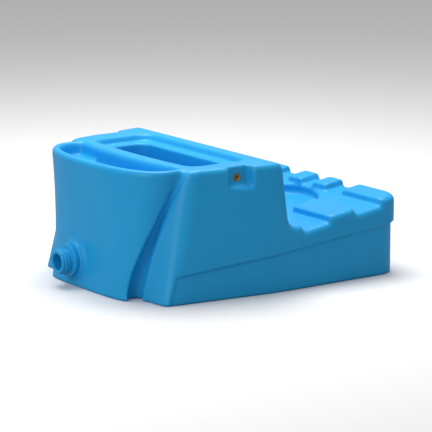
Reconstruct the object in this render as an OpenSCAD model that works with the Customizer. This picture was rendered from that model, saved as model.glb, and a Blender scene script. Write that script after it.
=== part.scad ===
// Mounting block for a stable yard: one hollow rotationally moulded body with a tall
// bow-fronted head, an open well and tray in the head's top, and a low ribbed deck
// behind it. A drain spout stands in the bow and a brass insert sits in each side.
// X runs from the bow to the rear of the deck, Y across, Z up, and z = 0 is the ground.

/* [Overall] */
// Length from the spout's mouth to the rear of the deck
overall_length = 740; // [650:5:900]
// Width across the body at its widest
overall_width = 582; // [500:2:700]
// Height of the head's rim above the ground
head_height = 300; // [260:2:360]
// Thickness of the moulded wall
wall = 7; // [4:0.5:9]

/* [Head] */
// How far the head's rear wall is from the rear of the deck, at the rim
deck_length = 348; // [330:2:400]
// How far the rear wall of the head leans back between its rim and the deck
rear_lean = 20; // [0:1:40]
// Half of what the body loses in width between the head's rear and its shoulders
shoulder_taper = 40; // [20:1:60]
// Distance from the head's rear wall to the shoulders, at the rim
shoulder_setback = 232; // [210:2:250]
// Length of the straight side in front of the head's rear wall before its taper
straight_side = 16; // [8:1:40]
// Length of the cove between each shoulder and the bow, at the rim
cove_run = 22; // [14:1:30]
// Half width of the bow where it leaves the shoulders
bow_half_width = 235; // [200:1:240]
// How far the bow stands in front of its coves
bow_depth = 95; // [80:1:130]
// How far the bow's wall is drawn in at its waist
bow_waist = 12; // [0:1:20]
// How far the foot of each shoulder is carried forward
foot_forward = 56; // [20:1:70]
// How far the foot of each shoulder spreads outwards
foot_spread = 14; // [0:1:24]
// How far the cove between foot and bow cuts in at the ground
cove_depth = 62; // [20:1:80]

/* [Well and tray] */
// Length of the rebate that a lid would lie in
rebate_length = 158; // [120:1:170]
// Width of the rebate
rebate_width = 400; // [300:2:410]
// Depth of the rebate
rebate_depth = 17; // [8:0.5:25]
// Width of the ledge round the well inside the rebate
ledge = 24; // [12:1:30]
// Distance from the head's rear wall to the rebate
rear_band = 40; // [30:1:60]
// Depth of the well below the rim
well_depth = 190; // [120:2:220]
// Thickness of the divider between the well and the tray
divider = 46; // [30:1:60]
// Width of the rim round the tray
rim_band = 26; // [18:1:34]
// Depth of the tray below the rim
tray_depth = 40; // [25:1:60]
// Length across the body of the hand hole in the tray's floor
hand_hole_length = 130; // [90:1:160]
// Width of the hand hole
hand_hole_width = 34; // [24:1:36]
// Depth of the hand hole below the tray's floor
hand_hole_depth = 45; // [20:1:70]

/* [Side pockets and inserts] */
// Width of the pocket in each side
pocket_width = 56; // [40:1:70]
// Height of the pocket below the rim
pocket_height = 46; // [36:1:60]
// Depth of the pocket into the side
pocket_depth = 18; // [12:1:24]
// Distance from the head's rear wall to the middle of the pocket
pocket_setback = 105; // [90:1:150]
// Distance of the insert's axis below the rim
insert_drop = 27; // [22:1:32]
// Diameter of the brass insert's face
insert_diameter = 18; // [14:0.5:22]
// Length of the brass insert
insert_length = 22; // [16:0.5:26]
// Tapping diameter of the insert's M10 hole
insert_bore = 8.5; // [6.8:0.1:10.2]
// Depth of the insert's hole
insert_hole_depth = 18; // [10:0.5:19]
// Wall of the moulded boss round the insert
boss_wall = 6; // [4:0.5:9]

/* [Drain spout] */
// Outside diameter of the spout's threaded neck
spout_diameter = 59.6; // [48:0.1:75.2]
// Bore of the spout
spout_bore = 38; // [30:0.5:40]
// Length of the threaded neck outside its collar
spout_neck = 26; // [20:1:45]
// Diameter of the collar behind the neck
collar_diameter = 76; // [68:1:84]
// Length of the collar in front of the bow
collar_length = 12; // [8:1:20]
// Height of the spout's axis above the ground
spout_height = 60; // [50:1:80]
// Distance of the spout's axis from the middle line, towards the far side
spout_offset = 50; // [0:1:70]
// How far the moulded boss stands out wider than the collar
boss_margin = 7; // [4:1:12]
// Gap between the spout and the body that it sits in
spout_clearance = 0.1; // [0.05:0.05:0.3]

/* [Deck] */
// Height of the deck's channels where the first one starts
deck_height = 130; // [110:1:150]
// Rise of the deck towards the rear in degrees
deck_pitch = 6.3; // [3:0.1:9]
// Height of the blocks above the channels
block_height = 15; // [8:0.5:20]
// Distance from the head's rear wall to the first channel
first_block = 63; // [50:1:80]
// Length of each block along the deck
block_length = 79; // [65:1:85]
// Length of each channel along the deck
channel_length = 73; // [60:1:80]
// Distance of the rear corner blocks from the middle line
corner_block_inner = 134; // [120:1:150]
// Distance of the middle blocks from the middle line
middle_block_inner = 17; // [12:1:24]
// Width of each middle block
middle_block_width = 59; // [45:1:70]
// Radius of the round seat in the middle of the deck
seat_radius = 142; // [110:1:150]
// Depth of the round seat below the channels
seat_depth = 23; // [12:1:30]
// Radius of the deck's rear corners
rear_corner = 42; // [25:1:60]

/* [Skirt] */
// Height of the skirt line at the front
skirt_front = 72; // [50:1:90]
// Height of the skirt line at the rear
skirt_rear = 120; // [95:1:135]
// How far the skin above the skirt line stands proud of the panel below it
skirt_step = 5; // [2:0.5:8]

/* [Hidden] */
$fn = 64;
half_width = overall_width / 2;
rear_x = overall_length / 2;
mouth_x = -overall_length / 2;
rim_rear_x = rear_x - deck_length;
shoulder_x = rim_rear_x - shoulder_setback;
bow_x = shoulder_x - cove_run - bow_depth;
taper_x = rim_rear_x - straight_side;
shoulder_half = half_width - shoulder_taper;
bow_steps = 20;
corner_steps = 6;
side_steps = 6;
levels = 12;
overlap = 20;

rebate_rear_x = rim_rear_x - rear_band;
rebate_front_x = rebate_rear_x - rebate_length;
tray_rear_x = rebate_front_x - divider;
well_floor_z = head_height - well_depth;
tray_floor_z = head_height - tray_depth;
hand_hole_x = tray_rear_x - hand_hole_width / 2 - wall;

pocket_x = rim_rear_x - pocket_setback;
insert_z = head_height - insert_drop;
pocket_floor_y = side_half(pocket_x) - pocket_depth;

collar_front_x = mouth_x + spout_neck;
collar_rear_x = collar_front_x + collar_length;
root_reach = 40;
spout_root_x = collar_rear_x + root_reach;
spout_root_diameter = spout_bore + 2 * wall;

channel_1_x = rim_rear_x + first_block;
block_1_x = channel_1_x + channel_length;
channel_2_x = block_1_x + block_length;
block_2_x = channel_2_x + channel_length;
seat_x = block_1_x + 10;

function lerp(a, b, t) = a + (b - a) * t;

// How far the flare of the foot has grown, from 0 at the rim to 1 at the ground
function flare(z) = pow(1 - z / head_height, 1.6);

// How far the bow is drawn in at a height: none at the rim, full at the waist
function waist(z) = bow_waist * sin(180 * pow(min(1, max(0, z / head_height)), 0.8));

// Half width of the head's side wall at a distance along the body
function side_half(x) = half_width
    - shoulder_taper * max(0, min(1, (taper_x - x) / (taper_x - shoulder_x)));

// x of the head's rear wall at a height
function rear_wall_x(z) = rim_rear_x + rear_lean * (1 - z / head_height) * 2;

// Near half of the body's outline at height z, from the middle of the rear to the bow's
// tip, drawn in by inset all round
function half_outline(z, inset) =
    let (
        w_rear = half_width - inset,
        x_end = rear_x - inset,
        r = rear_corner - inset,
        x_sh = shoulder_x - foot_forward * flare(z) + inset,
        w_sh = shoulder_half + foot_spread * flare(z) - inset,
        x_cove = shoulder_x - cove_run - foot_forward * flare(z) + inset,
        w_cove = bow_half_width - cove_depth * flare(z) - inset,
        x_tip = bow_x + waist(z) + inset
    )
    concat(
        [[x_end, 0]],
        [for (i = [0:corner_steps])
            let (a = 90 * i / corner_steps)
            [x_end - r + r * cos(a), w_rear - r + r * sin(a)]],
        [for (i = [0:side_steps])
            let (t = i / side_steps)
            [lerp(taper_x, x_sh, t), lerp(w_rear, w_sh, t)]],
        [for (i = [1:bow_steps])
            let (t = 90 * i / bow_steps)
            [x_cove - (x_cove - x_tip) * pow(sin(t), 0.85), w_cove * pow(max(0, cos(t)), 0.85)]]
    );

// The whole outline: the near half and its mirror image, without doubled middle points
function outline(z, inset) =
    let (h = half_outline(z, inset), n = len(h))
    concat(
        h,
        [for (i = [n - 2:-1:1]) [h[i][0], -h[i][1]]]
    );

// A solid whose outline changes with height, built as rings joined by triangles
module loft(z_low, z_high, inset) {
    rings = [for (k = [0:levels]) lerp(z_low, z_high, k / levels)];
    n = len(outline(z_low, inset));
    points = [for (z = rings) for (p = outline(z, inset)) [p[0], p[1], z]];
    sides = [for (k = [0:levels - 1]) for (i = [0:n - 1])
        let (j = (i + 1) % n, a = k * n + i, b = k * n + j)
        each [[a, a + n, b + n], [a, b + n, b]]];
    bottom = [for (i = [0:n - 1]) i];
    top = [for (i = [n - 1:-1:0]) levels * n + i];
    polyhedron(points, concat(sides, [bottom, top]), convexity = 6);
}

// Height of the skirt line at a distance along the body
function skirt_z(x) = lerp(skirt_front, skirt_rear, (x - shoulder_x) / (rear_x - shoulder_x));

// A side view carried right across the body
module side_view(points) {
    rotate([90, 0, 0]) linear_extrude(overall_width * 2, center = true) polygon(points);
}

// Puts its children on the deck's pitched plane, with x along the deck from channel 1
module on_deck() {
    translate([channel_1_x, 0, deck_height]) rotate([0, -deck_pitch, 0]) children();
}

// The space behind the head and above the deck's blocks, grown by the wall
module air(grow) {
    rise = tan(deck_pitch);
    z_top = head_height + overlap;
    x_end = rear_x + overlap;
    z_block = deck_height + block_height / cos(deck_pitch);
    z_start = z_block + (rim_rear_x - channel_1_x) * rise;
    x_foot = rear_wall_x(z_start);
    side_view([[rear_wall_x(z_top) - grow, z_top], [x_foot - grow, z_start - grow],
               [x_end, z_block + (x_end - channel_1_x) * rise - grow], [x_end, z_top]]);
}

// A box cut down to the deck's channels, given along and across, grown by the wall
module deck_cut(x_low, x_high, y_low, y_high, grow) {
    on_deck()
        translate([x_low - channel_1_x - grow, y_low - grow, -grow])
            cube([x_high - x_low + 2 * grow, y_high - y_low + 2 * grow,
                  block_height + overlap + grow]);
}

// The channels across the deck, the gaps in its rear row and the round seat
module deck_cuts(grow) {
    y_mid = middle_block_inner + middle_block_width;
    x_end = rear_x + overlap;
    deck_cut(channel_1_x, block_1_x, -overall_width, overall_width, grow);
    deck_cut(channel_2_x, block_2_x, -overall_width, overall_width, grow);
    deck_cut(block_2_x - overlap, x_end, -middle_block_inner, middle_block_inner, grow);
    for (side = [-1, 1])
        deck_cut(block_2_x - overlap, x_end, min(side * y_mid, side * corner_block_inner),
                 max(side * y_mid, side * corner_block_inner), grow);
    on_deck() translate([seat_x - channel_1_x, 0, -seat_depth - grow])
        cylinder(r = seat_radius + grow, h = seat_depth + block_height + overlap + grow);
}

// Plan of the panel below the skirt line, set back from the skin above it
module panel_plan(grow) {
    w = half_width - skirt_step - grow;
    r = rear_corner - skirt_step - grow;
    x_end = rear_x - skirt_step - grow;
    polygon(concat(
        [[-overall_length, -w]],
        [for (i = [0:corner_steps]) let (a = -90 + 90 * i / corner_steps)
            [x_end - r + r * cos(a), -w + r + r * sin(a)]],
        [for (i = [0:corner_steps]) let (a = 90 * i / corner_steps)
            [x_end - r + r * cos(a), w - r + r * sin(a)]],
        [[-overall_length, w]]
    ));
}

// What is cut away below the skirt line, grown by the wall
module skirt_cut(grow) {
    x_start = shoulder_x;
    x_end = rear_x + overlap;
    difference() {
        side_view([[x_start, -overlap], [x_end, -overlap], [x_end, skirt_z(x_end) + grow],
                   [x_start, skirt_z(x_start) + grow]]);
        translate([0, 0, -overlap * 2]) linear_extrude(head_height + overlap * 2) panel_plan(grow);
    }
}

// Plan of the rebate: straight behind, slightly bowed in front
module rebate_plan(grow) {
    bow = 10;
    n = 8;
    w = rebate_width / 2 + grow;
    polygon(concat(
        [[rebate_rear_x + grow, -w], [rebate_rear_x + grow, w]],
        [for (i = [0:n]) let (y = lerp(w, -w, i / n))
            [rebate_front_x - grow + bow * pow(y / w, 2), y]]
    ));
}

// Plan of the tray: a crescent between the divider and the rim of the bow
module tray_plan(grow) {
    n = 20;
    w = bow_half_width - rim_band + grow;
    x_tip = bow_x + rim_band - grow;
    x_back = tray_rear_x + grow;
    bend = 22;
    polygon(concat(
        [for (i = [0:n]) let (a = -90 + 180 * i / n)
            [x_back + bend - (x_back + bend - x_tip) * pow(cos(a), 0.85), w * sin(a)]],
        [for (i = [1:n - 1]) let (y = lerp(w, -w, i / n))
            [x_back + bend * pow(y / w, 2), y]]
    ));
}

// The well, its rebate, the tray and the hand hole, grown by the wall for the inner skin
module hollows(grow) {
    up = head_height + 1 + grow;
    translate([0, 0, head_height - rebate_depth - grow])
        linear_extrude(rebate_depth + 1 + grow * 2) rebate_plan(grow);
    translate([0, 0, well_floor_z - grow]) linear_extrude(up - well_floor_z + grow)
        rebate_plan(grow - ledge);
    translate([0, 0, tray_floor_z - grow]) linear_extrude(up - tray_floor_z + grow)
        tray_plan(grow);
    translate([hand_hole_x, 0, tray_floor_z - hand_hole_depth - grow])
        linear_extrude(hand_hole_depth + 1 + grow * 2)
            for (side = [-1, 1]) slot_half(side, grow);
}

// One half of the hand hole's plan: a bar with a round end
module slot_half(side, grow) {
    r = hand_hole_width / 2 + grow;
    reach = hand_hole_length / 2 - hand_hole_width / 2;
    translate([0, side * reach]) circle(r);
    translate([-r, min(0, side * reach)]) square([2 * r, reach]);
}

// The pocket in one side, open at the rim, with a floor that falls away outwards
module pocket(side, grow) {
    y_out = side_half(pocket_x) + overlap;
    z_low = head_height - pocket_height;
    multmatrix([[1, 0, 0, pocket_x], [0, side, 0, 0], [0, 0, 1, 0], [0, 0, 0, 1]])
        rotate([90, 0, 90]) linear_extrude(pocket_width + 2 * grow, center = true)
            polygon([[pocket_floor_y - grow, head_height + 1 + grow],
                     [pocket_floor_y - grow, z_low + 8 - grow],
                     [y_out, z_low - 6 - grow],
                     [y_out, head_height + 1 + grow]]);
}

// Places its children at one insert, with z along the insert's axis and out of the side
module at_insert(side) {
    translate([pocket_x, side * pocket_floor_y, insert_z]) rotate([-side * 90, 0, 0]) children();
}

// Places its children at the spout's mouth, with z pointing out of the bow
module at_spout() {
    translate([mouth_x, spout_offset, spout_height]) rotate([0, -90, 0]) children();
}

// Everything that is cut from the outside of the moulding, grown by the wall
module cuts(grow) {
    air(grow);
    deck_cuts(grow);
    skirt_cut(grow);
    hollows(grow);
    for (side = [-1, 1]) pocket(side, grow);
}

// The boss of each insert inside the body
module insert_boss(side) {
    at_insert(side) translate([0, 0, -insert_length - boss_wall])
        cylinder(d = insert_diameter + 2 * boss_wall, h = insert_length + boss_wall);
}

// The boss on the bow that the spout's collar is seated on, rooted in the bow's wall
module spout_boss() {
    at_spout() translate([0, 0, mouth_x - bow_x - 2 * wall])
        cylinder(d = collar_diameter + 2 * boss_margin,
                 h = bow_x + 2 * wall - collar_rear_x - spout_clearance);
}

// The hollow moulded body
module body_shell() {
    color("#2A9FE0")
    difference() {
        union() {
            difference() {
                loft(0, head_height, 0);
                difference() {
                    loft(wall, head_height - wall, wall);
                    cuts(wall);
                    for (side = [-1, 1]) insert_boss(side);
                }
            }
            spout_boss();
        }
        cuts(0);
        for (side = [-1, 1]) at_insert(side)
            translate([0, 0, -insert_length]) cylinder(d = insert_diameter, h = insert_length + 1);
        at_spout() translate([0, 0, mouth_x - spout_root_x - 1])
            cylinder(d = spout_root_diameter + 2 * spout_clearance, h = spout_root_x - mouth_x + 2);
    }
}

// A brass insert: a knurled plug with a tapped blind hole, moulded into the side
module insert(side) {
    groove = 2.5;
    color("#C69A60")
    at_insert(side)
        difference() {
            union() {
                translate([0, 0, -insert_length]) cylinder(d = insert_diameter, h = insert_length / 3);
                translate([0, 0, -insert_length]) cylinder(d = insert_diameter - groove, h = insert_length);
                translate([0, 0, -insert_length / 2]) cylinder(d = insert_diameter, h = insert_length / 2);
            }
            translate([0, 0, -insert_hole_depth]) cylinder(d = insert_bore, h = insert_hole_depth + 1);
        }
}

module near_insert() insert(-1);
module far_insert() insert(1);

// The drain spout: a collar and a threaded neck on a root that sits in the bow's wall
module drain_spout() {
    reach = collar_front_x + collar_length - mouth_x;
    root = spout_root_x - mouth_x;
    color("#2A9FE0")
    at_spout()
        difference() {
            union() {
                translate([0, 0, -spout_neck]) cylinder(d = spout_diameter, h = spout_neck);
                translate([0, 0, -reach]) cylinder(d = collar_diameter, h = collar_length);
                translate([0, 0, -root]) cylinder(d = spout_root_diameter, h = root);
            }
            translate([0, 0, -root - 1]) cylinder(d = spout_bore, h = root + 2);
        }
}

body_shell();
near_insert();
far_insert();
drain_spout();
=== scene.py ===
import math

import bpy
import numpy as np
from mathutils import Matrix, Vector


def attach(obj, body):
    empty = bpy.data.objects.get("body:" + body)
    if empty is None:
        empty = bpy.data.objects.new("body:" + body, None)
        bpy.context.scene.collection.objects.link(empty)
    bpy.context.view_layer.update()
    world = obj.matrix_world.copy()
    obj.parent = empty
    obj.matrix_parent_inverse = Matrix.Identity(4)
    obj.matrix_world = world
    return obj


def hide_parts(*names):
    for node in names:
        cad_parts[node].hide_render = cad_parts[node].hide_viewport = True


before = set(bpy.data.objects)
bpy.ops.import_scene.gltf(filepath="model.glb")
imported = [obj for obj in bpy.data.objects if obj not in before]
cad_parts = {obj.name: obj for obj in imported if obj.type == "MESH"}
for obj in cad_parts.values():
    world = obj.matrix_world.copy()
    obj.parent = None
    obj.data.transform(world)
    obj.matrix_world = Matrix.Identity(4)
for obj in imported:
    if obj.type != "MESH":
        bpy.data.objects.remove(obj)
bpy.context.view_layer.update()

# ---------------------------------------------------------------- camera
# The camera stands in front of the near side, a little above the rim, with a long lens.
CAMERA_AZIMUTH = math.radians(-35.6)
CAMERA_ELEVATION = math.radians(12.1)
CAMERA_LENS_RATIO = 6.0
CAMERA_DISTANCE = 6.07
CAMERA_TARGET = Vector((0.0, 0.0, 0.15))
SLIDE_RIGHT = 0.034
SLIDE_UP = -0.0195

back = Vector((
    math.sin(CAMERA_AZIMUTH) * math.cos(CAMERA_ELEVATION),
    -math.cos(CAMERA_AZIMUTH) * math.cos(CAMERA_ELEVATION),
    math.sin(CAMERA_ELEVATION),
))
right = Vector((math.cos(CAMERA_AZIMUTH), math.sin(CAMERA_AZIMUTH), 0.0))
up = back.cross(right)
camera_data = bpy.data.cameras.new("camera")
camera = bpy.data.objects.new("camera", camera_data)
bpy.context.scene.collection.objects.link(camera)
camera_data.sensor_width = 36.0
camera_data.lens = 36.0 * CAMERA_LENS_RATIO
camera_data.clip_end = 50.0
camera.location = CAMERA_TARGET + back * CAMERA_DISTANCE + right * SLIDE_RIGHT + up * SLIDE_UP
camera.rotation_mode = "QUATERNION"
camera.rotation_quaternion = (-back).to_track_quat("-Z", "Y")
bpy.context.scene.camera = camera

# ---------------------------------------------------------------- moulded body
# The body is one hollow skin of polyethylene, rotationally moulded in one piece: head,
# well, tray and deck together. Every edge is as round as the powder makes it, so the
# skin is worked out as one blended surface and cut where it is level, at zero.
MM = 0.001
HEIGHT = 300.0
HALF_WIDTH = 291.0
REAR_X = 370.0
REAR_CORNER = 60.0
RIM_REAR_X = 22.0
REAR_LEAN = 40.0
TAPER_X = 6.0
SHOULDER_X = -210.0
SHOULDER_HALF = 251.0
FOOT_FORWARD = 66.0
FOOT_SPREAD = 4.0
COVE_X = -230.0
GROOVE_TOP = (-208.0, 236.0)
GROOVE_FOOT = (-281.0, 172.0)
GROOVE_OFFSET = (-12.0, -15.0)
GROOVE_RADIUS = 19.0
GROOVE_ROUND = 7.0
FLARE_POWER = 1.4
COVE_POWER = 1.5
WAIST_POWER = 0.8
TAPER_ROUND = 6.0
FACE_LEAST_WIDTH = 14.0
FACE_OVERRUN = 20.0
COVE_FORWARD = 18.0
COVE_IN = 45.0
COVE_ROUND = 9.0
BOW_X = -328.0
BOW_FOOT = 2.0
BOW_HALF = 225.0
BOW_SQUARENESS = 2.4
FOOT_SQUARENESS = 4.4
BOW_WAIST = 12.0
EDGE_ROUND = 17.0
FOOT_ROUND = 5.0
SHOULDER_ROUND = 24.0
HEAD_FILLET = 34.0

DECK_HEIGHT = 134.0
DECK_PITCH = math.radians(8.0)
CHANNEL_1_X = 85.0
BLOCK_HEIGHT = 15.0
CHANNEL_LENGTH = 73.0
BLOCK_LENGTH = 79.0
CORNER_BLOCK_INNER = 134.0
MIDDLE_BLOCK_INNER = 17.0
MIDDLE_BLOCK_WIDTH = 59.0
BLOCK_DRAFT = 0.22
BLOCK_EDGE = 7.0
SEAT_RADIUS = 141.0
SEAT_DEPTH = 23.0
SEAT_BACK = 10.0
SEAT_DRAFT = 0.12
SEAT_FLOOR_ROUND = 14.0
CHANNEL_JOIN = 4.0
GAP_JOIN = 9.0
DECK_ROUND = 8.0

SKIRT_FRONT = 67.0
SKIRT_SLOPE = 0.098
SKIRT_STEP = 5.0
SKIRT_LIP = 4.0
SKIRT_START = 8.0
SKIRT_RUN = 10.0

REBATE_REAR_X = -18.0
REBATE_FRONT_X = -176.0
REBATE_BOW = 10.0
REBATE_HALF = 200.0
REBATE_FLOOR = 283.0
REBATE_FRONT_ROUND = 20.0
REBATE_CORNER = 34.0
REBATE_DRAFT = 0.15
REBATE_FLOOR_ROUND = 8.0
LEDGE = 24.0
WELL_FLOOR = 110.0
WELL_DRAFT = 0.05
WELL_FLOOR_ROUND = 30.0
WELL_EDGE = 5.0
TRAY_BACK_X = -222.0
TRAY_BEND = 22.0
TRAY_RIM = 26.0
TRAY_FLOOR = 260.0
TRAY_PAD = 8.0
TRAY_PAD_START = 112.0
TRAY_PAD_RUN = 10.0
TRAY_TIP_ROUND = 22.0
TRAY_DRAFT = 0.12
TRAY_FLOOR_ROUND = 12.0
HAND_HOLE_X = -258.0
HAND_HOLE_HALF_LENGTH = 112.0
HAND_HOLE_HALF_WIDTH = 19.0
HAND_HOLE_FLOOR = 215.0
HAND_HOLE_FLOOR_ROUND = 14.0
HAND_HOLE_EDGE = 6.0
RIM_ROUND = 13.0

POCKET_X = -83.0
POCKET_HALF = 28.0
POCKET_DEPTH = 18.0
POCKET_FLOOR = 256.0
POCKET_SILL = 6.0
POCKET_FALL = 0.7
POCKET_DRAFT = 0.1
POCKET_ROUND = 8.0
POCKET_EDGE = 6.0
INSERT_Z = 273.0
INSERT_RADIUS = 9.0
INSERT_LENGTH = 22.0

SPOUT_Y = 50.0
SPOUT_Z = 60.0
BOSS_RADIUS = 41.0
BOSS_FRONT_X = -331.9
BOSS_ROUND = 7.0
BOSS_FILLET = 14.0
ROOT_RADIUS = 26.0
ROOT_END_X = -292.0

GRID_STEP = (4.7, 4.7, 3.5)
GRID_MARGIN = 0.7
SETTLE_PASSES = 4


def both(a, b, round_by):
    """Smooth maximum: what lies inside both shapes, with an edge rounded over round_by."""
    share = np.clip(1.0 - np.abs(a - b) / round_by, 0.0, 1.0)
    return np.maximum(a, b) + share * share * round_by / 4.0


def either(a, b, round_by):
    """Smooth minimum: what lies inside one shape or the other, with a fillet between them."""
    return -both(-a, -b, round_by)


def ease(t):
    """Goes smoothly from 0 to 1 as t does: 3 t squared less 2 t cubed."""
    t = np.clip(t, 0.0, 1.0)
    return t * t * (3.0 - 2.0 * t)


def bow_distance(x, y, x_start, depth, half, n):
    """Distance outside a bow: a superellipse in front of x_start and straight sides behind it."""
    u = np.maximum((x_start - x) / depth, 0.0) + 1e-4
    v = np.abs(y) / half + 1e-4
    f = (u**n + v**n) ** (1.0 / n)
    slope = f ** (1.0 - n) * np.sqrt((u ** (n - 1.0) / depth) ** 2 + (v ** (n - 1.0) / half) ** 2)
    return (f - 1.0) / slope


def plan_distance(x, y, z):
    """Distance outside the walls at height z: the main body with its spread feet, joined to
    the bow, with a groove between foot and bow that widens downwards, and the rounded rear of
    the deck. Flare, cove and groove each grow with a power of the height left to the rim."""
    y = np.abs(y)
    low = np.clip(1.0 - z / HEIGHT, 0.0, 1.0)
    flare = low**FLARE_POWER
    cove = 1.0 - np.clip(z / HEIGHT, 0.0, 1.0) ** COVE_POWER
    shoulder_x = SHOULDER_X - FOOT_FORWARD * flare
    shoulder_half = SHOULDER_HALF + FOOT_SPREAD * flare
    run = TAPER_X - shoulder_x
    taper = (HALF_WIDTH - shoulder_half) / run
    parallel = y - HALF_WIDTH
    tapered = (y - HALF_WIDTH + (TAPER_X - x) * taper) / np.sqrt(1.0 + taper * taper)
    groove_x = GROOVE_TOP[0] + (GROOVE_FOOT[0] - GROOVE_TOP[0]) * cove
    groove_y = GROOVE_TOP[1] + (GROOVE_FOOT[1] - GROOVE_TOP[1]) * cove
    slant = (groove_x - shoulder_x) / np.maximum(shoulder_half - groove_y, FACE_LEAST_WIDTH)
    face_in = np.minimum(shoulder_half - y, shoulder_half - groove_y + FACE_OVERRUN)
    face = (shoulder_x + slant * face_in - x) / np.sqrt(1.0 + slant * slant)
    main = both(both(parallel, tapered, TAPER_ROUND), face, SHOULDER_ROUND)
    waist = BOW_WAIST * np.sin(math.pi * np.clip(z / HEIGHT, 0.0, 1.0) ** WAIST_POWER)
    cove_x = COVE_X - COVE_FORWARD * cove
    tip_x = BOW_X + waist - BOW_FOOT * flare
    bow = bow_distance(x, y, cove_x, cove_x - tip_x, BOW_HALF - COVE_IN * cove,
                       BOW_SQUARENESS + (FOOT_SQUARENESS - BOW_SQUARENESS) * flare)
    walls = either(main, bow, COVE_ROUND)
    from_groove = np.hypot(x - groove_x - GROOVE_OFFSET[0] * cove,
                           y - groove_y - GROOVE_OFFSET[1] * cove)
    walls = both(walls, GROOVE_RADIUS * cove - from_groove, GROOVE_ROUND)
    skirt_z = SKIRT_FRONT + SKIRT_SLOPE * (x - SHOULDER_X)
    below = ease((skirt_z - z) / SKIRT_LIP + 0.5)
    behind = ease((x - shoulder_x - SKIRT_START) / SKIRT_RUN)
    walls = both(walls, x - REAR_X, REAR_CORNER)
    return walls + SKIRT_STEP * below * behind


def deck_place(x, z):
    """Distance along the pitched deck from its first channel, and height above the channels."""
    along = (x - CHANNEL_1_X) * math.cos(DECK_PITCH) + (z - DECK_HEIGHT) * math.sin(DECK_PITCH)
    above = (z - DECK_HEIGHT) * math.cos(DECK_PITCH) - (x - CHANNEL_1_X) * math.sin(DECK_PITCH)
    return along, above


def top_distance(x, y, z):
    """Height above the top of the body: the level rim, the head's leaning rear wall, and the
    deck's blocks with channels, gaps and the round seat cut into them."""
    y = np.abs(y)
    along, above = deck_place(x, z)
    rear_wall = x - RIM_REAR_X - REAR_LEAN * (1.0 - z / HEIGHT)
    head = both(z - HEIGHT, rear_wall, EDGE_ROUND)
    drafted = BLOCK_DRAFT * above
    half_channel = CHANNEL_LENGTH / 2.0
    row = CHANNEL_LENGTH + BLOCK_LENGTH
    channel_1 = np.abs(along - half_channel) - half_channel - drafted
    channel_2 = np.abs(along - half_channel - row) - half_channel - drafted
    rear_row = row + half_channel - along
    y_mid = MIDDLE_BLOCK_INNER + MIDDLE_BLOCK_WIDTH
    gap_centre = (y_mid + CORNER_BLOCK_INNER) / 2.0
    gap_half = (CORNER_BLOCK_INNER - y_mid) / 2.0
    side_gap = np.maximum(np.abs(y - gap_centre) - gap_half - drafted, rear_row)
    valley = np.maximum(y - MIDDLE_BLOCK_INNER - 2.0 * drafted, rear_row)
    low = either(
        either(channel_1, channel_2, CHANNEL_JOIN), either(side_gap, valley, CHANNEL_JOIN), GAP_JOIN)
    cuts = both(low, -above, DECK_ROUND)
    blocks = both(above - BLOCK_HEIGHT, -cuts, BLOCK_EDGE)
    across = np.hypot(along - CHANNEL_LENGTH - SEAT_BACK, y) - SEAT_RADIUS - SEAT_DRAFT * above
    seat = both(across, -SEAT_DEPTH - above, SEAT_FLOOR_ROUND)
    seat = both(seat, -rear_wall, DECK_ROUND)
    deck = both(blocks, -seat, DECK_ROUND)
    return either(head, deck, HEAD_FILLET)


def hollow_distance(x, y, z):
    """Distance outside the hollows in the head's top: the rebate, the well, the crescent tray
    and the hand hole, each with drafted walls and a rounded floor."""
    y = np.abs(y)
    front = REBATE_FRONT_X + REBATE_BOW * (y / REBATE_HALF) ** 2
    sides = both(both(x - REBATE_REAR_X, front - x, REBATE_FRONT_ROUND), y - REBATE_HALF, REBATE_CORNER)
    rebate = both(sides - REBATE_DRAFT * (z - REBATE_FLOOR), REBATE_FLOOR - z, REBATE_FLOOR_ROUND)
    well = both(
        sides + LEDGE - WELL_DRAFT * (z - REBATE_FLOOR), WELL_FLOOR - z, WELL_FLOOR_ROUND)
    tip = bow_distance(x, y, COVE_X, COVE_X - BOW_X, BOW_HALF, BOW_SQUARENESS) + TRAY_RIM
    behind = x - TRAY_BACK_X - TRAY_BEND * (y / BOW_HALF) ** 2
    tray_walls = both(tip, behind, TRAY_TIP_ROUND)
    floor = TRAY_FLOOR + TRAY_PAD * ease((y - TRAY_PAD_START) / TRAY_PAD_RUN + 0.5)
    tray = both(tray_walls - TRAY_DRAFT * (z - TRAY_FLOOR), floor - z, TRAY_FLOOR_ROUND)
    reach = np.maximum(y - HAND_HOLE_HALF_LENGTH + HAND_HOLE_HALF_WIDTH, 0.0)
    slot = np.hypot(x - HAND_HOLE_X, reach) - HAND_HOLE_HALF_WIDTH
    hole = both(slot, HAND_HOLE_FLOOR - z, HAND_HOLE_FLOOR_ROUND)
    return np.minimum(either(rebate, well, WELL_EDGE), either(tray, hole, HAND_HOLE_EDGE))


def side_half(x):
    """Half width of the body at the rim."""
    return HALF_WIDTH - (HALF_WIDTH - SHOULDER_HALF) * np.clip(
        (TAPER_X - x) / (TAPER_X - SHOULDER_X), 0.0, 1.0)


def pocket_distance(x, y, z):
    """Distance outside the pocket in each side: a notch open at the rim, with a floor that
    falls away outwards, and the round seat of its brass insert."""
    y = np.abs(y)
    back = side_half(POCKET_X) - POCKET_DEPTH
    walls = both(
        np.abs(x - POCKET_X) - POCKET_HALF - POCKET_DRAFT * (y - back), back - y, POCKET_ROUND)
    notch = both(walls, POCKET_FLOOR + POCKET_SILL - POCKET_FALL * (y - back) - z, POCKET_ROUND)
    round_seat = np.hypot(x - POCKET_X, z - INSERT_Z) - INSERT_RADIUS
    insert_seat = np.maximum(round_seat, back - INSERT_LENGTH - y)
    return np.minimum(notch, insert_seat)


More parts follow.
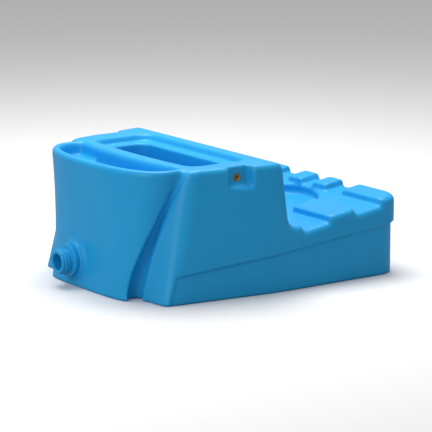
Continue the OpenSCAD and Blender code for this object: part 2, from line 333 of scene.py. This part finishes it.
def body_distance(x, y, z):
    """The whole body: walls and top together, the spout's boss added, the hollows, pockets
    and the spout's seat taken out, and the base laid flat on the ground."""
    solid = both(plan_distance(x, y, z), top_distance(x, y, z), EDGE_ROUND)
    solid = both(solid, -z, FOOT_ROUND)
    from_axis = np.hypot(y - SPOUT_Y, z - SPOUT_Z)
    boss = both(from_axis - BOSS_RADIUS, BOSS_FRONT_X - x, BOSS_ROUND)
    boss = np.maximum(boss, x - ROOT_END_X)
    solid = either(solid, boss, BOSS_FILLET)
    solid = both(solid, -hollow_distance(x, y, z), RIM_ROUND)
    solid = both(solid, -pocket_distance(x, y, z), POCKET_EDGE)
    spout_seat = np.maximum(from_axis - ROOT_RADIUS, x - ROOT_END_X)
    return np.maximum(solid, -spout_seat)


def slope_of(distance, p, reach=0.2):
    """Gradient of a distance function at points p, from its values a little either side."""
    out = np.empty_like(p)
    for axis in range(3):
        shift = np.zeros(3)
        shift[axis] = reach
        ahead, behind = p + shift, p - shift
        out[:, axis] = (distance(*ahead.T) - distance(*behind.T)) / (2.0 * reach)
    return out


def skin_of(distance, low, high, step):
    """Points and four-sided faces of the surface where a distance function is zero. Each grid
    cell that the surface crosses gets one point, at the mean of its edge crossings and then
    moved on to the surface along the gradient; each crossed grid edge gets one face."""
    axes = [np.arange(a - 2 * s, b + 3 * s, s) for a, b, s in zip(low, high, step)]
    grid = np.meshgrid(*axes, indexing="ij")
    value = distance(*grid)
    inside = value < 0.0
    count = np.zeros(tuple(n - 1 for n in value.shape))
    total = np.zeros(count.shape + (3,))
    corner = [np.s_[:-1], np.s_[1:]]
    for axis in range(3):
        others = [a for a in range(3) if a != axis]
        for i in (0, 1):
            for j in (0, 1):
                cut_a = [None] * 3
                cut_b = [None] * 3
                cut_a[axis], cut_b[axis] = corner[0], corner[1]
                cut_a[others[0]] = cut_b[others[0]] = corner[i]
                cut_a[others[1]] = cut_b[others[1]] = corner[j]
                a, b = value[tuple(cut_a)], value[tuple(cut_b)]
                crossed = (a < 0.0) != (b < 0.0)
                t = np.where(crossed, a / np.where(crossed, a - b, 1.0), 0.0)
                count += crossed
                for k in range(3):
                    start = grid[k][tuple(cut_a)]
                    span = step[axis] if k == axis else 0.0
                    total[..., k] += np.where(crossed, start + t * span, 0.0)
    used = count > 0
    points = total[used] / count[used][:, None]
    start = points.copy()
    for _ in range(SETTLE_PASSES):
        gradient = slope_of(distance, points)
        size = np.maximum((gradient**2).sum(axis=1), 0.05)
        points = points - gradient * (distance(*points.T) / size)[:, None]
        points = start + np.clip(points - start, -0.6 * min(step), 0.6 * min(step))
    number = np.full(count.shape, -1)
    number[used] = np.arange(len(points))
    faces = []
    for axis in range(3):
        b_axis, c_axis = (axis + 1) % 3, (axis + 2) % 3
        ahead = np.roll(inside, -1, axis=axis)
        crossed = np.argwhere(inside != ahead)
        keep = np.all((crossed >= 1) & (crossed < np.array(value.shape) - 1), axis=1)
        crossed = crossed[keep]
        quad = []
        for db, dc in ((1, 1), (0, 1), (0, 0), (1, 0)):
            cell = crossed.copy()
            cell[:, b_axis] -= db
            cell[:, c_axis] -= dc
            quad.append(number[tuple(cell.T)])
        quad = np.stack(quad, axis=1)
        leaving = inside[tuple(crossed.T)]
        quad[~leaving] = quad[~leaving][:, ::-1]
        faces.append(quad)
    return points, np.concatenate(faces)


def mesh_piece(name, points, faces):
    """A smooth-shaded piece from points in millimetres and faces as rows of point numbers."""
    mesh = bpy.data.meshes.new(name)
    mesh.from_pydata((points * MM).tolist(), [], faces.tolist())
    mesh.shade_smooth()
    mesh.validate()
    piece = bpy.data.objects.new(name, mesh)
    bpy.context.scene.collection.objects.link(piece)
    return piece


body_points, body_faces = skin_of(
    body_distance,
    (BOSS_FRONT_X - GRID_MARGIN, -HALF_WIDTH - GRID_MARGIN, 0.0),
    (REAR_X + GRID_MARGIN, HALF_WIDTH + GRID_MARGIN, HEIGHT), GRID_STEP)
body = mesh_piece("moulded_body", body_points, body_faces)
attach(body, "root")
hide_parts("body_shell")


def linear(code):
    """Linear red, green, blue and alpha of an sRGB hex colour."""
    parts = [int(code[i:i + 2], 16) / 255.0 for i in (1, 3, 5)]
    return [p / 12.92 if p <= 0.04045 else ((p + 0.055) / 1.055) ** 2.4 for p in parts] + [1.0]


def node(tree, kind, settings=None, links=None):
    """Adds a node, sets its properties or inputs by name, and links its inputs to outputs."""
    made = tree.nodes.new(kind)
    for key, value in (settings or {}).items():
        if key in made.inputs:
            made.inputs[key].default_value = value
        else:
            setattr(made, key, value)
    for key, source in (links or {}).items():
        tree.links.new(source, made.inputs[key])
    return made


CLOUD_SIZE = 0.11
PEEL_SIZE = 0.0038
PEEL_HEIGHT = 0.0006
BODY_BLUE = "#22B0F0"
BODY_BLUE_SHADE = "#1CA6E6"


# Rotationally moulded polyethylene has a satin skin: soft, wide highlights, a colour that
# drifts a little over a hand's width, and a faint orange peel about 4 mm across.
def rotomoulded_polyethylene(name, colour, shade):
    """Polyethylene that mixes a colour and a shade by a slow noise, with peel as bump."""
    material = bpy.data.materials.new(name)
    material.use_nodes = True
    tree = material.node_tree
    tree.nodes.clear()
    place = node(tree, "ShaderNodeTexCoord").outputs["Object"]
    cloud = node(tree, "ShaderNodeTexNoise", {"Scale": 1.0 / CLOUD_SIZE, "Detail": 4.0}, {"Vector": place})
    tint = node(tree, "ShaderNodeMix", {"data_type": "RGBA"}, {"Factor": cloud.outputs["Fac"]})
    tint.inputs[6].default_value = linear(shade)
    tint.inputs[7].default_value = linear(colour)
    peel = node(tree, "ShaderNodeTexNoise", {"Scale": 1.0 / PEEL_SIZE, "Detail": 2.0}, {"Vector": place})
    bump = node(tree, "ShaderNodeBump", {"Strength": 0.12, "Distance": PEEL_HEIGHT},
                {"Height": peel.outputs["Fac"]})
    shader = node(tree, "ShaderNodeBsdfPrincipled", {"Roughness": 0.38, "Specular IOR Level": 0.3},
                  {"Base Color": tint.outputs[2], "Normal": bump.outputs["Normal"]})
    node(tree, "ShaderNodeOutputMaterial", links={"Surface": shader.outputs["BSDF"]})
    return material


body.data.materials.append(
    rotomoulded_polyethylene("body_polyethylene", BODY_BLUE, BODY_BLUE_SHADE))

# ---------------------------------------------------------------- drain spout
# The drain spout is a threaded neck of the same polyethylene with a collar behind it,
# moulded with a coarse thread for a cap or hose and fused into the boss low in the bow.
MOUTH_X = -370.0
NECK_LENGTH = 26.0
COLLAR_LENGTH = 12.0
NECK_RADIUS = 27.4
THREAD_HEIGHT = 2.4
THREAD_PITCH = 7.0
COLLAR_RADIUS = 38.0
BORE_RADIUS = 19.0
LIP_ROUND = 4.0
AROUND = 160
SPOUT_SAMPLE = 0.8
THREAD_SHARPNESS = 0.8
THREAD_START = 4.5
THREAD_STOP = 3.5
THREAD_FADE = 3.0


def round_path(corners, rounding, count=7):
    """Points along a closed outline of corners, each corner turned into a quadratic curve:
    (1-t) squared A + 2 t (1-t) corner + t squared B, between points rounding away from it."""
    corners = np.array(corners, float)
    before = np.roll(corners, 1, axis=0) - corners
    after = np.roll(corners, -1, axis=0) - corners
    reach_before = np.linalg.norm(before, axis=1, keepdims=True)
    reach_after = np.linalg.norm(after, axis=1, keepdims=True)
    size = np.minimum(rounding, 0.45 * np.minimum(reach_before, reach_after))
    a = corners + before / reach_before * size
    b = corners + after / reach_after * size
    t = np.linspace(0.0, 1.0, count)[None, :, None]
    path = (1 - t) ** 2 * a[:, None] + 2 * t * (1 - t) * corners[:, None] + t**2 * b[:, None]
    return path.reshape(-1, 2)


def ring_faces(rows, columns):
    """Four-sided faces of a grid that closes on itself both ways, like a ring."""
    i, j = np.meshgrid(np.arange(rows), np.arange(columns), indexing="ij")
    i2, j2 = (i + 1) % rows, (j + 1) % columns
    corners = [i * columns + j, i2 * columns + j, i2 * columns + j2, i * columns + j2]
    return np.stack(corners, axis=-1).reshape(-1, 4)


neck_end = NECK_LENGTH
collar_end = NECK_LENGTH + COLLAR_LENGTH
root_end = ROOT_END_X - MOUTH_X
spout_outline = round_path([
    (0.0, BORE_RADIUS), (0.0, NECK_RADIUS), (neck_end, NECK_RADIUS),
    (neck_end, COLLAR_RADIUS), (collar_end, COLLAR_RADIUS), (collar_end, ROOT_RADIUS),
    (root_end, ROOT_RADIUS), (root_end, BORE_RADIUS)],
    np.array([LIP_ROUND, LIP_ROUND, 3.0, 4.0, 2.0, 1.0, 1.0, 1.0])[:, None])
gaps = np.linalg.norm(np.roll(spout_outline, -1, axis=0) - spout_outline, axis=1)
along = np.concatenate([[0.0], np.cumsum(gaps)])
closed = np.vstack([spout_outline, spout_outline[:1]])
even = np.arange(0.0, along[-1], SPOUT_SAMPLE)
depth = np.interp(even, along, closed[:, 0])
radius = np.interp(even, along, closed[:, 1])
turn = np.linspace(0.0, 2.0 * math.pi, AROUND, endpoint=False)
depth_grid, turn_grid = np.meshgrid(depth, turn, indexing="ij")
radius_grid = np.repeat(radius[:, None], AROUND, axis=1)
# The thread is a helix: its height follows depth along the neck less the turn's share of
# the pitch, and fades out before the lip and the collar.
phase = depth_grid / THREAD_PITCH - turn_grid / (2.0 * math.pi)
ridge = ease(np.cos(2.0 * math.pi * phase) * THREAD_SHARPNESS + 0.5)
fade = ease((depth_grid - THREAD_START) / THREAD_FADE) * ease(
    (neck_end - THREAD_STOP - depth_grid) / THREAD_FADE)
on_neck = (radius_grid > BORE_RADIUS + 4.0) & (depth_grid < neck_end)
radius_grid = radius_grid + THREAD_HEIGHT * ridge * fade * on_neck
spout_points = np.stack([
    MOUTH_X + depth_grid,
    SPOUT_Y + radius_grid * np.cos(turn_grid),
    SPOUT_Z + radius_grid * np.sin(turn_grid)], axis=-1).reshape(-1, 3)
spout = mesh_piece(
    "drain_spout_neck", spout_points, ring_faces(len(depth), AROUND)[:, ::-1])
spout.data.materials.append(
    rotomoulded_polyethylene("spout_polyethylene", BODY_BLUE, BODY_BLUE_SHADE))
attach(spout, "root")
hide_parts("drain_spout")

# ---------------------------------------------------------------- brass inserts
# Each insert is a turned brass plug with a knurled outside and an M10 thread tapped into
# it. It is put in the mould first, so the polyethylene flows round it and holds it.
INSERT_BORE = 4.25
INSERT_DEPTH = 18.0
THREAD_10 = 1.5
KNURLS = 36
KNURL_DEPTH = 0.3
THREAD_10_DEPTH = 0.45
TURNED_SAMPLE = 0.3
TURNED_AROUND = 144
HOLE_MOUTH = 1.2
STAIN_SIZE = 0.0063


def insert_piece(name, side):
    """A revolved outline: face, tapped hole, floor, and knurled outside. The hole's radius
    is bore + 0.45 cos(depth / pitch - turn); the outside is radius - 0.3 (1 - cos(knurls))."""
    outline = round_path([
        (0.0, INSERT_BORE + HOLE_MOUTH), (0.0, INSERT_RADIUS - 0.1), (INSERT_LENGTH, INSERT_RADIUS - 0.1),
        (INSERT_LENGTH, 0.02), (INSERT_DEPTH, 0.02), (INSERT_DEPTH, INSERT_BORE),
        (HOLE_MOUTH, INSERT_BORE)],
        np.array([0.7, 0.7, 1.0, 0.1, 0.1, 0.5, 0.4])[:, None])
    ends = np.vstack([outline, outline[:1]])
    run = np.concatenate([[0.0], np.cumsum(np.linalg.norm(np.diff(ends, axis=0), axis=1))])
    steps = np.arange(0.0, run[-1], TURNED_SAMPLE)
    deep = np.interp(steps, run, ends[:, 0])
    wide = np.interp(steps, run, ends[:, 1])
    angle = np.linspace(0.0, 2.0 * math.pi, TURNED_AROUND, endpoint=False)
    deep, angle = np.meshgrid(deep, angle, indexing="ij")
    wide = np.repeat(wide[:, None], TURNED_AROUND, axis=1)
    tapped = (np.abs(wide - INSERT_BORE) < 0.3) & (deep > 1.0) & (deep < INSERT_DEPTH - 0.5)
    wide = wide + THREAD_10_DEPTH * tapped * np.cos(2.0 * math.pi * deep / THREAD_10 - angle)
    outside = (wide > INSERT_RADIUS - 0.3) & (deep > 1.5)
    wide = wide - KNURL_DEPTH * outside * (1.0 - np.cos(KNURLS * angle))
    face_y = side_half(POCKET_X) - POCKET_DEPTH
    points = np.stack([
        POCKET_X + side * wide * np.cos(angle),
        side * (face_y - deep),
        INSERT_Z + wide * np.sin(angle)], axis=-1).reshape(-1, 3)
    piece = mesh_piece(name, points, ring_faces(deep.shape[0], TURNED_AROUND)[:, ::-1])
    piece.data.materials.append(turned_brass)
    return piece


# Turned brass that has stood in a stable: a warm metal with a fine satin from the lathe,
# and brown stains a few millimetres across that dull it unevenly.
turned_brass = bpy.data.materials.new("turned_brass_dulled")
turned_brass.use_nodes = True
tree = turned_brass.node_tree
tree.nodes.clear()
place = node(tree, "ShaderNodeTexCoord").outputs["Object"]
stain = node(tree, "ShaderNodeTexNoise", {"Scale": 1.0 / STAIN_SIZE, "Detail": 5.0}, {"Vector": place})
tone = node(tree, "ShaderNodeMix", {"data_type": "RGBA"}, {"Factor": stain.outputs["Fac"]})
tone.inputs[6].default_value = linear("#9A6B3C")
tone.inputs[7].default_value = linear("#E3B77A")
shader = node(tree, "ShaderNodeBsdfPrincipled", {"Metallic": 1.0, "Roughness": 0.38},
              {"Base Color": tone.outputs[2]})
node(tree, "ShaderNodeOutputMaterial", links={"Surface": shader.outputs["BSDF"]})

for name, side in (("near_insert", -1), ("far_insert", 1)):
    piece = insert_piece(name + "_brass", side)
    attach(piece, "root")
    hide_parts(name)

# ---------------------------------------------------------------- floor and light
# A plain pale floor and soft studio lights: a wide one above, one in front of the bow. What
# the camera sees of floor and sky is near white; the light that they give back is dimmer.
floor_mesh = bpy.data.meshes.new("floor")
floor_mesh.from_pydata([(-8, -8, 0), (8, -8, 0), (8, 8, 0), (-8, 8, 0)], [], [(0, 1, 2, 3)])
floor = bpy.data.objects.new("floor", floor_mesh)
bpy.context.scene.collection.objects.link(floor)
floor_material = bpy.data.materials.new("floor_paper")
floor_material.use_nodes = True
tree = floor_material.node_tree
tree.nodes.clear()
seen = node(tree, "ShaderNodeLightPath").outputs["Is Camera Ray"]
tone = node(tree, "ShaderNodeMix", {"data_type": "RGBA"}, {"Factor": seen})
tone.inputs[6].default_value = linear("#A8A8A8")
tone.inputs[7].default_value = linear("#FAFAFA")
shader = node(tree, "ShaderNodeBsdfDiffuse", links={"Color": tone.outputs[2]})
node(tree, "ShaderNodeOutputMaterial", links={"Surface": shader.outputs["BSDF"]})
floor.data.materials.append(floor_material)

world = bpy.data.worlds.new("studio")
world.use_nodes = True
tree = world.node_tree
tree.nodes.clear()
seen = node(tree, "ShaderNodeLightPath").outputs["Is Camera Ray"]
strength = node(tree, "ShaderNodeMapRange", {"To Min": 0.42, "To Max": 1.1}, {"Value": seen})
sky = node(tree, "ShaderNodeBackground", {"Color": (1.0, 1.0, 1.0, 1.0)},
           {"Strength": strength.outputs["Result"]})
node(tree, "ShaderNodeOutputWorld", links={"Surface": sky.outputs["Background"]})
bpy.context.scene.world = world
bpy.context.scene.view_settings.view_transform = "Standard"


def soft_light(name, place, aim, size, power):
    """A square area light at a place, turned to aim at a point."""
    data = bpy.data.lights.new(name, "AREA")
    data.size = size
    data.energy = power
    lamp = bpy.data.objects.new(name, data)
    bpy.context.scene.collection.objects.link(lamp)
    lamp.location = place
    lamp.rotation_mode = "QUATERNION"
    lamp.rotation_quaternion = (Vector(aim) - Vector(place)).to_track_quat("-Z", "Y")
    return lamp


soft_light("top_light", (0.2, 0.6, 2.4), (0.0, 0.0, 0.1), 1.8, 60)
soft_light("bow_light", (-2.4, -0.6, 1.0), (0.0, 0.0, 0.15), 1.2, 14)
